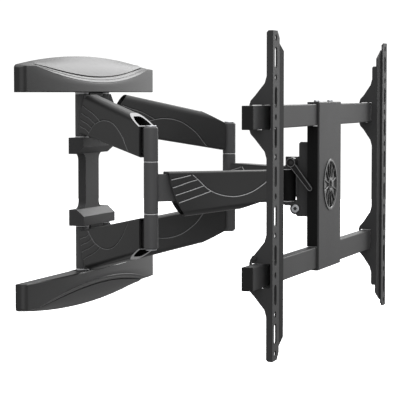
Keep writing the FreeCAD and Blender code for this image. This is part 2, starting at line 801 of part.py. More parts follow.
def tv_bracket():
    """Folded sheet: a drilled face, a stepped strip beside it and two flared webs."""
    t = BRACKET_SHEET
    face_y = BRACKET_FACE
    half_l = BRACKET_HALF_L
    strip_y = face_y + t
    strip_x = -FACE_INNER_W - STRIP_W
    corner = 9.0
    plate = [
        (FACE_OUTER_W, -half_l),
        (FACE_OUTER_W, half_l),
        (-FACE_INNER_W + corner, half_l),
        (-FACE_INNER_W, half_l - corner),
        (-FACE_INNER_W, -half_l + corner),
        (-FACE_INNER_W + corner, -half_l),
    ]
    bracket = front_slab(plate, face_y, face_y + t)
    strip = [
        (-FACE_INNER_W + t, 198),
        (strip_x, 184),
        (strip_x, -184),
        (-FACE_INNER_W + t, -198),
    ]
    bracket = bracket.fuse(front_slab(strip, strip_y, strip_y + t))
    outer_web = side_slab(web_outline(face_y, half_l, 2.5), FACE_OUTER_W - t, FACE_OUTER_W)
    inner_web = side_slab(web_outline(strip_y, 172.0, 2.0), strip_x, strip_x + t)
    for rail_z in (-RAIL_Z, RAIL_Z):
        z = (rail_z - RAIL_H / 2 - RAIL_ROOM, rail_z + RAIL_H / 2 + RAIL_ROOM)
        back = RAIL_BACK + RAIL_ROOM
        outer_web = outer_web.cut(box((0, 20), (face_y + 3.0, back), z))
        inner_web = inner_web.cut(box((-50, 0), (RAIL_BACK - RAIL_D - RAIL_ROOM, back), z))
    bracket = bracket.fuse([outer_web, inner_web]).removeSplitter()
    for step in range(-4, 5):
        hole = rod(VESA_HOLE_R, V(0, face_y + t + 1, step * HOLE_PITCH), t + 2, TOWARDS_TV)
        bracket = bracket.cut(hole)
    for z in (25, 75, 125, 175):
        for side in (-1, 1):
            centre = V(0, face_y + t + 1, side * z)
            bracket = bracket.cut(slot(centre, SLOT_L, SLOT_W, t + 2, TOWARDS_TV, UP))
    return bracket.cut(rod(LOCK_R, V(0, LOCK_Y, LOCK_Z), 30, ALONG_X))


def lock_screw():
    """Screw through the outer web that stops the bracket from sliding along the rails."""
    reach = BRACKET_SHEET + 8
    shaft = rod(LOCK_R, V(FACE_OUTER_W - reach, LOCK_Y, LOCK_Z), reach, ALONG_X)
    head = rod(3.6, V(FACE_OUTER_W, LOCK_Y, LOCK_Z), 2.4, ALONG_X)
    return shaft.fuse(head).removeSplitter()


def make_brackets():
    for name, shape in (("bracket", tv_bracket()), ("bracket_lock_screw", lock_screw())):
        placed = shape.copy()
        placed.translate(V(VESA_W / 2, 0, 0))
        export_pair(name, placed)


os.makedirs("parts", exist_ok=True)
make_wall_frame()
make_arms()
make_forearms()
make_head()
make_tv_frame()
make_brackets()
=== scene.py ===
import json
import math

import bmesh
import bpy
from mathutils import Matrix, Vector


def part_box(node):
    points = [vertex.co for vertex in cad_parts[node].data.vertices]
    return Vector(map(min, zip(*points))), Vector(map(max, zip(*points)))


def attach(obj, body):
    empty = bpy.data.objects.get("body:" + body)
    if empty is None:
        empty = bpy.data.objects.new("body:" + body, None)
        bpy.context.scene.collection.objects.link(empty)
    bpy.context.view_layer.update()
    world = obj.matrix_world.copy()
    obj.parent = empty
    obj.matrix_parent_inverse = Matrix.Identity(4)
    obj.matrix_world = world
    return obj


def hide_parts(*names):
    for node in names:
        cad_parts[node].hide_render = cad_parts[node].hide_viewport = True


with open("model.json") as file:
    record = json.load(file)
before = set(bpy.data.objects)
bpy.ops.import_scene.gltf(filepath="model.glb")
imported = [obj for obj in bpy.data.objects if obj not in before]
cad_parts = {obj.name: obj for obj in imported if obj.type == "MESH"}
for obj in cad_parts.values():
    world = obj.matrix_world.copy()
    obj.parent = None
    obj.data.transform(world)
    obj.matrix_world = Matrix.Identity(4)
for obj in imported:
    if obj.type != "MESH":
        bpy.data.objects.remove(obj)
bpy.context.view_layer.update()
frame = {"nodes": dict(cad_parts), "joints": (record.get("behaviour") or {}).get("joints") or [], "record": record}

# Full motion TV wall mount, in metres, in the frame of the CAD model: the origin is the
# centre of the wall frame on the wall, +Y points into the wall and the TV side is -Y.

MM = 0.001
UP = Vector((0, 0, 1))


# Where things are, read from the frame


def joint(name):
    return next(j for j in frame["joints"] if j["name"] == name)


def pivot(name):
    """A vertical hinge's axis, as its point at mid height."""
    x, y, _ = joint(name)["pos_m"]
    return Vector((x, y, 0))


SHOULDER = {"left": pivot("left_shoulder"), "right": pivot("right_shoulder")}
ELBOW = {"left": pivot("left_elbow"), "right": pivot("right_elbow")}
HEAD = {"left": pivot("left_head_pivot")}
HEAD["right"] = Vector((-HEAD["left"].x, HEAD["left"].y, 0))
BODY = {
    node: body
    for body, nodes in frame["record"]["behaviour"]["bodies"].items()
    for node in nodes
}
SLOT = {part["node"]: part["material_slot"] for part in frame["record"]["subparts"]}


def link_matrix(start, end):
    """Turns and moves a shape drawn along +X from the origin onto the link."""
    run = end - start
    return Matrix.Translation(start) @ Matrix.Rotation(math.atan2(run.y, run.x), 4, "Z")


# Materials


BUMP_STRENGTH = 0.6
TONE_SCALE = 9.0
BRUSH_SCALE = 260.0
BRUSH_DEPTH = 0.00001


def new_material(name):
    material = bpy.data.materials.new(name)
    material.use_nodes = True
    nodes = material.node_tree.nodes
    return material, nodes, material.node_tree.links, nodes["Principled BSDF"]


def noise(nodes, links, scale, detail=4.0, stretch=(1, 1, 1)):
    """Noise in the object's own space, so that it rides along with its piece."""
    place = nodes.new("ShaderNodeTexCoord")
    mapping = nodes.new("ShaderNodeMapping")
    mapping.inputs["Scale"].default_value = stretch
    texture = nodes.new("ShaderNodeTexNoise")
    texture.inputs["Scale"].default_value = scale
    texture.inputs["Detail"].default_value = detail
    links.new(place.outputs["Object"], mapping.inputs["Vector"])
    links.new(mapping.outputs["Vector"], texture.inputs["Vector"])
    return texture.outputs["Fac"]


def ramp(nodes, links, factor, low, high):
    """Colour ramp between two greys or colours, over the middle of the noise's range."""
    node = nodes.new("ShaderNodeValToRGB")
    node.color_ramp.elements[0].position = 0.3
    node.color_ramp.elements[1].position = 0.7
    node.color_ramp.elements[0].color = (*low, 1)
    node.color_ramp.elements[1].color = (*high, 1)
    links.new(factor, node.inputs["Fac"])
    return node.outputs["Color"]


def grey(value):
    """A grey that leans slightly to blue."""
    return (value, value, value * 1.02)


def bump(nodes, links, shader, height, distance):
    node = nodes.new("ShaderNodeBump")
    node.inputs["Strength"].default_value = BUMP_STRENGTH
    node.inputs["Distance"].default_value = distance
    links.new(height, node.inputs["Height"])
    links.new(node.outputs["Normal"], shader.inputs["Normal"])


def coated(name, dark, light, roughness, grain, depth, specular=0.5):
    """Painted metal or moulded plastic: slow tone changes over a fine grain."""
    material, nodes, links, shader = new_material(name)
    slow = noise(nodes, links, TONE_SCALE, 3.0)
    fine = noise(nodes, links, grain, 6.0)
    links.new(ramp(nodes, links, slow, grey(dark), grey(light)), shader.inputs["Base Color"])
    low, high = roughness
    links.new(ramp(nodes, links, fine, grey(low), grey(high)), shader.inputs["Roughness"])
    shader.inputs["Specular IOR Level"].default_value = specular
    bump(nodes, links, shader, fine, depth)
    return material


def bare_metal(name, dark, light, roughness, stretch):
    """Metal with a brushed grain; the grain runs long where stretch is small."""
    material, nodes, links, shader = new_material(name)
    brushed = noise(nodes, links, BRUSH_SCALE, 5.0, stretch)
    shader.inputs["Metallic"].default_value = 1.0
    links.new(ramp(nodes, links, brushed, dark, light), shader.inputs["Base Color"])
    low, high = roughness
    links.new(ramp(nodes, links, brushed, grey(low), grey(high)), shader.inputs["Roughness"])
    bump(nodes, links, shader, brushed, BRUSH_DEPTH)
    return material


# A coated one has a name, dark and light tones, roughness, the grain's scale and depth, specular
MATERIALS = {
    "black_steel": coated("powder_coated_steel", 0.03, 0.039, (0.42, 0.52), 1500.0, 0.00003, 0.22),
    "bar_steel": coated("bar_steel", 0.07, 0.082, (0.42, 0.52), 1500.0, 0.00003, 0.22),
    # A darker copy of the bracket steel: painted shade on the set-back strip of each bracket.
    "painted_shade_steel": coated("painted_shade_steel", 0.008, 0.011, (0.5, 0.6), 1500.0, 0.00003, 0.1),
    "cover_plastic": coated("cover_plastic", 0.011, 0.015, (0.36, 0.44), 2200.0, 0.00002),
    "sleeve_plastic": coated("sleeve_plastic", 0.012, 0.017, (0.34, 0.44), 2200.0, 0.00002),
    "black_plastic": coated("black_plastic", 0.006, 0.009, (0.3, 0.4), 1800.0, 0.00002, 0.25),
    "emblem_plastic": coated("emblem_plastic", 0.008, 0.011, (0.24, 0.32), 900.0, 0.00001),
    "black_nylon": coated("black_nylon", 0.01, 0.014, (0.3, 0.4), 1200.0, 0.00001),
    "light_nylon": coated("light_nylon", 0.55, 0.62, (0.35, 0.45), 1200.0, 0.00001),
    "black_screw": coated("black_oxide", 0.01, 0.016, (0.25, 0.35), 1600.0, 0.00002),
    # A lighter copy of the plastic: painted highlight on the sleeve lips and the lever's edges.
    "painted_highlight_soft": coated("painted_highlight_soft", 0.1, 0.14, (0.25, 0.33), 1500.0, 0.00001),
    # A much lighter copy of the plastic: painted highlight on the mouth rims and the forearm lips.
    "painted_highlight_strong": coated("painted_highlight_strong", 0.34, 0.42, (0.22, 0.3), 1500.0, 0.00001),
    # Near-black: painted shade on the centre column's sides and on the forearm ends in the head.
    "painted_shade_black": coated("painted_shade_black", 0.004, 0.006, (0.7, 0.8), 900.0, 0.00003, 0.12),
    "zinc_steel": bare_metal(
        "zinc_plate", (0.42, 0.43, 0.45), (0.62, 0.63, 0.65), (0.24, 0.38), (1, 1, 0.2)
    ),
}


# Mesh helpers


SMOOTH_ANGLE = 40.0
FLAT_ANGLE = 0.5
WELD_DISTANCE = 0.000002
PATH_STEPS = 6
ACROSS_ARM = Vector((0, 1, 0))
TO_RIGHT = Vector((1, 0, 0))


def new_piece(name, mesh, body, slot):
    """Object that rides on a body, with the material of its slot."""
    piece = bpy.data.objects.new(name, mesh)
    bpy.context.scene.collection.objects.link(piece)
    mesh.materials.clear()
    mesh.materials.append(MATERIALS[slot])
    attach(piece, body)
    return piece


def mesh_from(name, build):
    """Mesh made by a function that fills a bmesh."""
    mesh = bpy.data.meshes.new(name)
    bm = bmesh.new()
    build(bm)
    bmesh.ops.recalc_face_normals(bm, faces=bm.faces)
    bm.to_mesh(mesh)
    bm.free()
    return mesh


def smooth(piece, angle=SMOOTH_ANGLE):
    """Smooth shading, with the edges that are sharper than the angle kept."""
    mesh = piece.data
    mesh.shade_smooth()
    mesh.set_sharp_from_angle(angle=math.radians(angle))
    weighted = piece.modifiers.new("weighted_normals", "WEIGHTED_NORMAL")
    weighted.keep_sharp = True


def round_edges(piece, width, segments=3, angle=30.0):
    """Rounds the edges that are sharper than the angle, and shades the piece smooth."""
    bevel = piece.modifiers.new("rounded_edges", "BEVEL")
    bevel.width = width
    bevel.segments = segments
    bevel.limit_method = "ANGLE"
    bevel.angle_limit = math.radians(angle)
    bevel.use_clamp_overlap = True
    smooth(piece)


def cad_copy(node):
    """Clean copy of a CAD node's mesh: welded, with its flat faces in one piece."""
    source = frame["nodes"][node].data

    def build(bm):
        bm.from_mesh(source)
        bmesh.ops.remove_doubles(bm, verts=bm.verts, dist=WELD_DISTANCE)
        flat = math.radians(FLAT_ANGLE)
        bmesh.ops.dissolve_limit(bm, angle_limit=flat, verts=bm.verts, edges=bm.edges)
        for name in list(bm.loops.layers.float_vector.keys()):
            bm.loops.layers.float_vector.remove(bm.loops.layers.float_vector[name])

    raw = mesh_from(node + "_raw", build)
    mesh = bpy.data.meshes.new(node + "_finish")
    corners = [vertex.co[:] for vertex in raw.vertices]
    mesh.from_pydata(corners, [], [polygon.vertices[:] for polygon in raw.polygons])
    bpy.data.meshes.remove(raw)
    return mesh


def finished(node, width):
    """The CAD node with rounded edges and its material."""
    piece = new_piece(node + "_finish", cad_copy(node), BODY[node], SLOT[node])
    round_edges(piece, width)
    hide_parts(node)
    return piece


def shade(piece, material, chosen):
    """Gives the chosen faces of a piece a second material."""
    piece.data.materials.append(MATERIALS[material])
    for face in piece.data.polygons:
        if chosen(face):
            face.material_index = 1


def smooth_path(points):
    """Points along a Catmull-Rom curve through the given ones."""
    ends = [points[0] * 2 - points[1]] + points + [points[-1] * 2 - points[-2]]
    path = []
    for a, b, c, d in zip(ends, ends[1:], ends[2:], ends[3:]):
        square = 2 * a - 5 * b + 4 * c - d
        cube = 3 * b - a - 3 * c + d
        for step in range(PATH_STEPS):
            s = step / PATH_STEPS
            path.append(0.5 * (2 * b + (c - a) * s + square * s**2 + cube * s**3))
    return path + [points[-1]]


def circle_points(steps):
    """Unit circle as (cosine, sine), one pair per step."""
    turns = [2 * math.pi * step / steps for step in range(steps)]
    return [(math.cos(turn), math.sin(turn)) for turn in turns]


def join_rings(bm, rings):
    """Faces between rings of vertices, and over the first and the last ring."""
    for near, far in zip(rings, rings[1:]):
        for index in range(len(near)):
            after = (index + 1) % len(near)
            bm.faces.new((near[index], near[after], far[after], far[index]))
    bm.faces.new(rings[0])
    bm.faces.new(rings[-1])


def add_tube(bm, path, radius, sides=8, across=ACROSS_ARM):
    """Closed tube along a path that stays nearly square to the direction across."""
    rings = []
    for index, point in enumerate(path):
        before = path[max(index - 1, 0)]
        after = path[min(index + 1, len(path) - 1)]
        along = (after - before).normalized()
        side = along.cross(across).normalized()
        places = [point + side * radius * c + across * radius * s for c, s in circle_points(sides)]
        rings.append([bm.verts.new(place) for place in places])
    join_rings(bm, rings)


# Cable sleeves: the CAD shells, with the lines that are moulded into their sides


SLEEVE_HALF_T = 12.5
LINE_R = 0.9
BEAD_R = 0.65
BEAD_SINK = 0.25
BEAD_DROP = 0.9

# Lines on a wall arm's sleeve, as (distance from the shoulder, height) in millimetres
WALL_ARM_LINES = [
    [(28, 112), (42, 107), (60, 101), (80, 90.5)],
    [(22.5, 102), (34, 98), (48, 94), (64, 87)],
    [(19.5, 92.5), (28, 89.5), (40, 86.5), (55, 80)],
    [(17.5, 83), (26, 80.5), (36, 78.5), (47, 73)],
    [(41, 69), (49, 76), (65, 86.5), (93, 92), (120, 87.5), (144, 72), (158, 56), (164, 49)],
]
# The same on a forearm's sleeve, from the elbow, above its middle height
FOREARM_LINES = [
    [(25.5, 12), (34, 13.6), (44, 15.6), (54, 18)],
    [(27.5, 1), (38, 4), (50, 8), (65, 12)],
    [(31.5, -9.5), (44, -6), (58, -1.8), (73, 3)],
    [(36.5, -20), (49, -16), (66, -10.5), (84, -4.5)],
    [(57, 18.5), (66, 10.5), (80, -2), (98, -10), (120, -12.8), (142, -8), (160, 2), (176, 15)],
]
# Directions that the slanted mouths of the cable channels face, as (along the arm, up)
WALL_ARM_MOUTH = (0.442, 0.897)
FOREARM_MOUTH = (0.306, -0.952)
RIM_T = 0.35
SAME_FACING = 0.995


def rim_mesh(node, mouth, matrix):
    """Rim of a channel's slanted mouth: the end face of the sleeve's wall, a little thicker."""
    along, rise = mouth
    facing = (matrix.to_3x3() @ Vector((along, 0, rise))).normalized()

    def build(bm):
        bm.from_mesh(cad_copy(node))
        others = [face for face in bm.faces if face.normal.dot(facing) < SAME_FACING]
        bmesh.ops.delete(bm, geom=others, context="FACES")
        bmesh.ops.solidify(bm, geom=bm.faces, thickness=-RIM_T * MM)

    return mesh_from(node + "_rim", build)


def line_cutter(lines, matrix):
    """Cutter for the moulded lines on both sides of a sleeve."""

    def build(bm):
        for side in (-SLEEVE_HALF_T, SLEEVE_HALF_T):
            for line in lines:
                points = [Vector((t, side, z)) * MM for t, z in line]
                add_tube(bm, smooth_path(points), LINE_R * MM)
        bmesh.ops.transform(bm, matrix=matrix, verts=bm.verts)

    cutter = bpy.data.objects.new("cutter", mesh_from("cutter", build))
    bpy.context.scene.collection.objects.link(cutter)
    return cutter


def carve(mesh, cutter):
    """The mesh with the cutter taken away."""
    body = bpy.data.objects.new("carved", mesh)
    bpy.context.scene.collection.objects.link(body)
    cut = body.modifiers.new("cut", "BOOLEAN")
    cut.operation = "DIFFERENCE"
    cut.solver = "EXACT"
    cut.use_self = True
    cut.object = cutter
    scene_state = bpy.context.evaluated_depsgraph_get()
    carved = bpy.data.meshes.new_from_object(body.evaluated_get(scene_state))
    carved.name = mesh.name
    for spent in (body, cutter):
        bpy.data.objects.remove(spent)
    return carved


def bead_mesh(name, lines, matrix):
    """Thin raised lip along the lower side of each moulded line."""
    reach = SLEEVE_HALF_T - BEAD_SINK

    def build(bm):
        for side in (-reach, reach):
            for line in lines:
                points = [Vector((t, side, z - BEAD_DROP)) * MM for t, z in line]
                add_tube(bm, smooth_path(points), BEAD_R * MM)
        bmesh.ops.transform(bm, matrix=matrix, verts=bm.verts)

    return mesh_from(name, build)


def sleeve(node, lines, matrix, drop, mouth, lip_highlight):
    """Carved sleeve with its lips, raised by drop, and the rim of its mouth; the lips and the rim are coloured
    lighter than the sleeve as painted highlight.
    """
    body = BODY[node]
    slot = SLOT[node]
    mesh = carve(cad_copy(node), line_cutter(lines, matrix))
    piece = new_piece(node + "_finish", mesh, body, slot)
    round_edges(piece, 0.5 * MM, segments=2, angle=35.0)
    shifted = [[(t, z + drop) for t, z in line] for line in lines]
    bead = new_piece(node + "_lips", bead_mesh(node + "_lips", shifted, matrix), body, slot)
    rim = new_piece(node + "_rim", rim_mesh(node, mouth, matrix), body, slot)
    # The lips and the rim take lighter materials: painted highlight.
    bead.data.materials[0] = MATERIALS[lip_highlight]
    rim.data.materials[0] = MATERIALS["painted_highlight_strong"]
    bead.data.shade_smooth()
    for part in (piece, bead, rim):
        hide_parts(node)


def make_sleeves():
    upside_down = Matrix.Scale(-1, 4, UP)
    for side in ("left", "right"):
        wall_arm = link_matrix(SHOULDER[side], ELBOW[side])
        forearm = link_matrix(ELBOW[side], HEAD[side])
        flipped = wall_arm @ upside_down
        upper = (WALL_ARM_LINES, wall_arm, 0.0, WALL_ARM_MOUTH, "painted_highlight_soft")
        lower = (WALL_ARM_LINES, flipped, 2 * BEAD_DROP, WALL_ARM_MOUTH, "painted_highlight_soft")
        sleeve(side + "_upper_sleeve", *upper)
        sleeve(side + "_lower_sleeve", *lower)
        sleeve(side + "_forearm_sleeve", FOREARM_LINES, forearm, 0.0, FOREARM_MOUTH, "painted_highlight_strong")


# Wall covers: a bowed shell with a lens-shaped panel on its slope, in millimetres


COVER_HALF_W = 248.0
COVER_END_D = 17.0
COVER_BOW = 12.0
COVER_CORNER_R = 8.0
COVER_WALL = 2.3
COVER_STEPS = 60
COVER_CORNER_STEPS = 10
COVER_BACK_FLAT = 4.0
WALL_GAP = 2.0
COVER_END_DROP = 4.0
FOOT_BEVEL = 1.2
FRONT_LOW_Z = 146.0
FRONT_RISE = 22.0
BACK_END_Z = 169.0
BACK_RISE = 16.0

LENS_HALF_W = 213.0
LENS_FADE = 14.0
LENS_SWELL = 1.6
LENS_STEP = 0.2
LIP_W = 8.8
GROOVE_D = 1.8
BORDER_SHARE = 0.6


def cover_depth(x):
    """How far the cover stands out from the wall, with its ends rounded off."""
    depth = COVER_END_D + COVER_BOW * (1 - (x / COVER_HALF_W) ** 2)
    past = max(0.0, abs(x) - COVER_HALF_W + COVER_CORNER_R)
    return depth - COVER_CORNER_R + math.sqrt(max(0.0, COVER_CORNER_R**2 - past**2))


def cover_front_z(x):
    share = min(1.0, abs(x) / LENS_HALF_W)
    return FRONT_LOW_Z + FRONT_RISE * share**2


def cover_back_z(x):
    return BACK_END_Z + BACK_RISE * (1 - (x / COVER_HALF_W) ** 2)


def smooth_step(value):
    share = min(1.0, max(0.0, value))
    return share * share * (3 - 2 * share)


def lens_profile(x, length):
    """Slope of a cover from its front edge to its back, as (run, rise): lip, groove, panel."""
    panel = smooth_step((LENS_HALF_W - abs(x)) / LENS_FADE)
    groove = GROOVE_D * panel
    border = [(0.0, -0.9), (0.35, -0.15), (1.2, 0.0), (3.6, 0.0)]
    border += [(4.0, -0.5 * panel), (4.8, -0.5 * panel), (5.2, 0.0), (LIP_W - 0.4, 0.0)]
    border += [(LIP_W, -groove), (LIP_W + 1.7, -groove), (LIP_W + 2.2, LENS_STEP * panel)]
    fit = min(1.0, BORDER_SHARE * length / border[-1][0])
    profile = [(run * fit, rise * fit) for run, rise in border]
    start = profile[-1][0]
    for share in (0.15, 0.3, 0.45, 0.6, 0.75, 0.9):
        swell = LENS_STEP * panel * (1 - share) + LENS_SWELL * panel * math.sin(math.pi * share)
        profile.append((start + (length - start) * share, swell))
    return profile + [(length, 0.0)]


def cover_section(x, foot_z):
    """Outline of the cover at a place along its length, from foot to wall, as (y, z)."""
    front = -cover_depth(x)
    past = min(1.0, max(0.0, abs(x) - COVER_HALF_W + COVER_CORNER_R) / COVER_CORNER_R)
    drop = COVER_END_DROP * (1 - math.sqrt(1 - past**2))
    front_z = cover_front_z(x) - drop
    back_z = cover_back_z(x) - drop
    points = [(-WALL_GAP, foot_z), (front * 0.5, foot_z)]
    points += [(front + FOOT_BEVEL, foot_z), (front, foot_z + FOOT_BEVEL)]
    points += [(front, foot_z + (front_z - foot_z) * share) for share in (0.3, 0.6, 0.85)]
    slope = Vector((-front - COVER_BACK_FLAT, back_z - front_z))
    length = slope.length
    along = slope / length
    outward = Vector((-along.y, along.x))
    edge = Vector((front, front_z))
    profile = lens_profile(x, length)
    points += [tuple(edge + along * run + outward * rise) for run, rise in profile]
    return points + [(-WALL_GAP, back_z)]


def cover_mesh(name, foot_z, flip):
    """Sections joined along the cover's length; they stand closer together at its ends."""
    straight = COVER_HALF_W - COVER_CORNER_R
    steps = range(-COVER_STEPS, COVER_STEPS + 1)
    middle = [straight * step / COVER_STEPS for step in steps]
    turns = [math.pi / 2 * step / COVER_CORNER_STEPS for step in range(1, COVER_CORNER_STEPS + 1)]
    end = [straight + COVER_CORNER_R * math.sin(turn) for turn in turns]
    stations = [-x for x in reversed(end)] + middle + end

    def build(bm):
        rows = []
        for x in stations:
            section = cover_section(x, foot_z)
            rows.append([bm.verts.new(Vector((x, y, flip * z)) * MM) for y, z in section])
        for left, right in zip(rows, rows[1:]):
            for index in range(len(left) - 1):
                bm.faces.new((left[index], left[index + 1], right[index + 1], right[index]))
        for row in (rows[0], rows[-1]):
            bm.faces.new(row)
        bmesh.ops.remove_doubles(bm, verts=bm.verts, dist=0.00001)

    return mesh_from(name, build)


def make_covers():
    foot_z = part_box("cover_top")[0].z / MM
    for node, flip in (("cover_top", 1), ("cover_bottom", -1)):
        piece = new_piece(node + "_finish", cover_mesh(node, foot_z, flip), BODY[node], SLOT[node])
        shell = piece.modifiers.new("wall", "SOLIDIFY")
        shell.thickness = COVER_WALL * MM
        shell.offset = -1
        smooth(piece, angle=38.0)
        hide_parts(node)


# Round ornament in the centre column: a plain wheel of rings and straight spokes


TO_TV = Matrix.Rotation(math.radians(90), 4, "X")
TO_LEFT = Matrix.Rotation(math.radians(-90), 4, "Y")
SPOKES = 12
SPOKE_R = 1.3
SPOKE_START = 10.0
DISH_D = 2.2


def lathe(bm, profile, matrix, segments=96):
    """Turned shape; profile is (radius, height) in mm and matrix turns its axis from +Z."""
    circle = circle_points(segments)
    rings = []
    for radius, height in profile:
        offsets = [Vector((radius * c, radius * s, height)) * MM for c, s in circle]
        rings.append([bm.verts.new(matrix @ offset) for offset in offsets])
    join_rings(bm, rings)


def make_emblem():
    low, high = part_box("emblem_disc")
    centre = Vector(((low.x + high.x) / 2, high.y, (low.z + high.z) / 2))
    radius = (high.x - low.x) / 2 / MM
    top = (high.y - low.y) / MM
    floor = top - DISH_D
    profile = [(radius, 0.0), (radius, top - 0.5), (radius - 0.5, top), (radius - 3.2, top)]
    profile += [(radius - 3.9, top - 0.7), (radius - 4.3, floor), (11.0, floor), (10.4, top - 0.8)]
    profile += [(9.6, top - 0.3), (6.6, top - 0.3), (5.9, top - 0.9), (5.4, floor), (0.6, floor)]

    def build(bm):
        lathe(bm, profile, Matrix.Translation(centre) @ TO_TV)
        for spoke in range(SPOKES):
            turn = 2 * math.pi * (spoke + 0.5) / SPOKES
            reach = Vector((math.cos(turn), 0, math.sin(turn)))
            lift = Vector((0, -(floor + 0.4), 0))
            ends = [centre + (reach * far + lift) * MM for far in (SPOKE_START, radius - 3.6)]
            add_tube(bm, ends, SPOKE_R * MM, 10)

    mesh = mesh_from("emblem", build)
    piece = new_piece("emblem_finish", mesh, BODY["emblem_disc"], SLOT["emblem_disc"])
    smooth(piece)
    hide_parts("emblem_disc")


# Clamp lever, and the small parts beside it


HANDLE_T = 4.6
HANDLE_TIP_R = 3.4
HANDLE_ROOT_R = 4.4
HANDLE_START = 5.0
HUB_L = 10.8
LEVER_EDGE_R = 0.5


def make_lever():
    """Hub and flat tapered handle, with raised edges on the side that faces away, coloured lighter as painted
    highlight.
    """
    low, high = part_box("tilt_lever")
    axis = Vector(joint("lever_turn")["pos_m"])
    hub_base = Matrix.Translation(Vector((high.x, axis.y, axis.z))) @ TO_LEFT
    hub_r = (high.z - axis.z) / MM
    profile = [(hub_r - 0.6, 0.0), (hub_r, 0.6), (hub_r, HUB_L - 1.0), (hub_r - 1.0, HUB_L)]
    profile += [(hub_r - 2.2, HUB_L), (hub_r - 2.6, HUB_L - 1.2)]
    profile += [(3.0, HUB_L - 1.2), (2.6, HUB_L - 3.0)]
    tip = Vector((low.x, low.y + HANDLE_TIP_R * MM, low.z + HANDLE_TIP_R * MM))
    root = Vector((low.x, axis.y, axis.z))
    along = (tip - root).normalized()
    across = along.cross(TO_RIGHT)

    def outline(shrink):
        start = along * HANDLE_START
        half_w = HANDLE_ROOT_R - shrink
        points = [root + (start + across * half_w) * MM]
        for step in range(13):
            turn = math.pi * step / 12
            offset = across * math.cos(turn) + along * math.sin(turn)
            points.append(tip + offset * (HANDLE_TIP_R - shrink) * MM)
        return points + [root + (start - across * half_w) * MM]

    def build(bm):
        lathe(bm, profile, hub_base, 64)
        levels = [(0.0, HANDLE_T), (0.0, 0.5), (0.5, 0.0), (1.3, 0.0), (1.7, 0.9)]
        rings = []
        for shrink, depth in levels:
            shift = Vector((depth * MM, 0, 0))
            rings.append([bm.verts.new(point + shift) for point in outline(shrink)])
        join_rings(bm, rings)

    def build_edges(bm):
        add_tube(bm, outline(0.6), LEVER_EDGE_R * MM, 8, TO_RIGHT)
        circle = circle_points(48)
        ring = [root + Vector((0, c, s)) * (hub_r - 1.6) * MM for c, s in circle + circle[:1]]
        add_tube(bm, ring, LEVER_EDGE_R * MM, 8, TO_RIGHT)

    slot = SLOT["tilt_lever"]
    piece = new_piece("tilt_lever_finish", mesh_from("tilt_lever", build), "lever", slot)
    round_edges(piece, 0.25 * MM, segments=2, angle=35.0)
    edges_mesh = mesh_from("tilt_lever_edges", build_edges)
    edges = new_piece("tilt_lever_edges", edges_mesh, "lever", slot)
    # The edge beads take a lighter material: painted highlight.
    edges.data.materials[0] = MATERIALS["painted_highlight_soft"]
    edges.data.shade_smooth()
    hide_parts("tilt_lever")


SOCKET_R = 2.55
SOCKET_LOBE = 0.55
SOCKET_LOBES = 6
SOCKET_STEPS = 48


def make_bolt_socket():
    """Dark six-lobed recess in the head of the tilt pivot bolt."""
    low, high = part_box("tilt_pivot_bolt")
    centre = Vector((low.x - 0.05 * MM, (low.y + high.y) / 2, (low.z + high.z) / 2))

    def build(bm):
        rings = []
        for depth, scale in ((0.4, 1.0), (0.0, 1.0), (0.0, 0.75), (0.35, 0.6)):
            ring = []
            for step in range(SOCKET_STEPS):
                turn = 2 * math.pi * step / SOCKET_STEPS
                reach = scale * (SOCKET_R + SOCKET_LOBE * math.cos(SOCKET_LOBES * turn)) * MM
                offset = Vector((depth * MM, reach * math.cos(turn), reach * math.sin(turn)))
                ring.append(bm.verts.new(centre + offset))
            rings.append(ring)
        join_rings(bm, rings)

    mesh = mesh_from("socket", build)
    socket = new_piece("tilt_pivot_bolt_socket", mesh, "tv_frame", "black_screw")
    smooth(socket)


SHADE_SHEET_T = 0.8
SHADE_SHEET_MARGIN = 1.0


def make_column_shade_sheets():
    """Near-black sheets on the two sides of the centre column, between its rails: painted shade where the column's
    sides lie in shadow.
    """
    low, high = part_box("centre_column")
    top = -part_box("rail_bottom")[1].z - SHADE_SHEET_MARGIN * MM
    middle_y = (low.y + high.y) / 2 + SHADE_SHEET_MARGIN * MM
    for name, x in (("left", low.x), ("right", high.x)):

        def build(bm):
            bmesh.ops.create_cube(bm, size=1.0)
            size = (SHADE_SHEET_T * MM, high.y - low.y - 2.6 * MM, 2 * top)
            bmesh.ops.scale(bm, verts=bm.verts, vec=size)
            bmesh.ops.translate(bm, verts=bm.verts, vec=(x, middle_y, 0))

        mesh = mesh_from("shade_sheet", build)
        shade_sheet = new_piece("column_shade_sheet_" + name, mesh, "tv_frame", "black_plastic")
        # Near-black material: painted shade on the column's sides.
        shade_sheet.data.materials[0] = MATERIALS["painted_shade_black"]
        round_edges(shade_sheet, 0.3 * MM)


# Cross pieces between the shoulder pins: half width, and their extents along Y and Z
BRIDGE_HALF_W = 25.0
BRIDGE_Y = (-20.0, -2.0)
BRIDGE_LEVELS = ((-131.5, -124.5), (-73.0, -65.0), (65.0, 73.0), (124.5, 131.5))


def make_pin_bridges():
    """Short cross pieces of the wall frame between the two rows of shoulder pins."""

    def build(bm):
        near, far = BRIDGE_Y
        for low, high in BRIDGE_LEVELS:
            cube = bmesh.ops.create_cube(bm, size=MM)["verts"]
            middle = Vector((0, (near + far) / 2, (low + high) / 2)) * MM
            bmesh.ops.scale(bm, verts=cube, vec=(2 * BRIDGE_HALF_W, far - near, high - low))
            bmesh.ops.translate(bm, verts=cube, vec=middle)

    mesh = mesh_from("pin_bridges", build)
    piece = new_piece("pin_bridges", mesh, BODY["spine"], SLOT["spine"])
    round_edges(piece, 1.2 * MM)


# Everything that keeps its CAD shape, with the edge radius that it gets, in millimetres


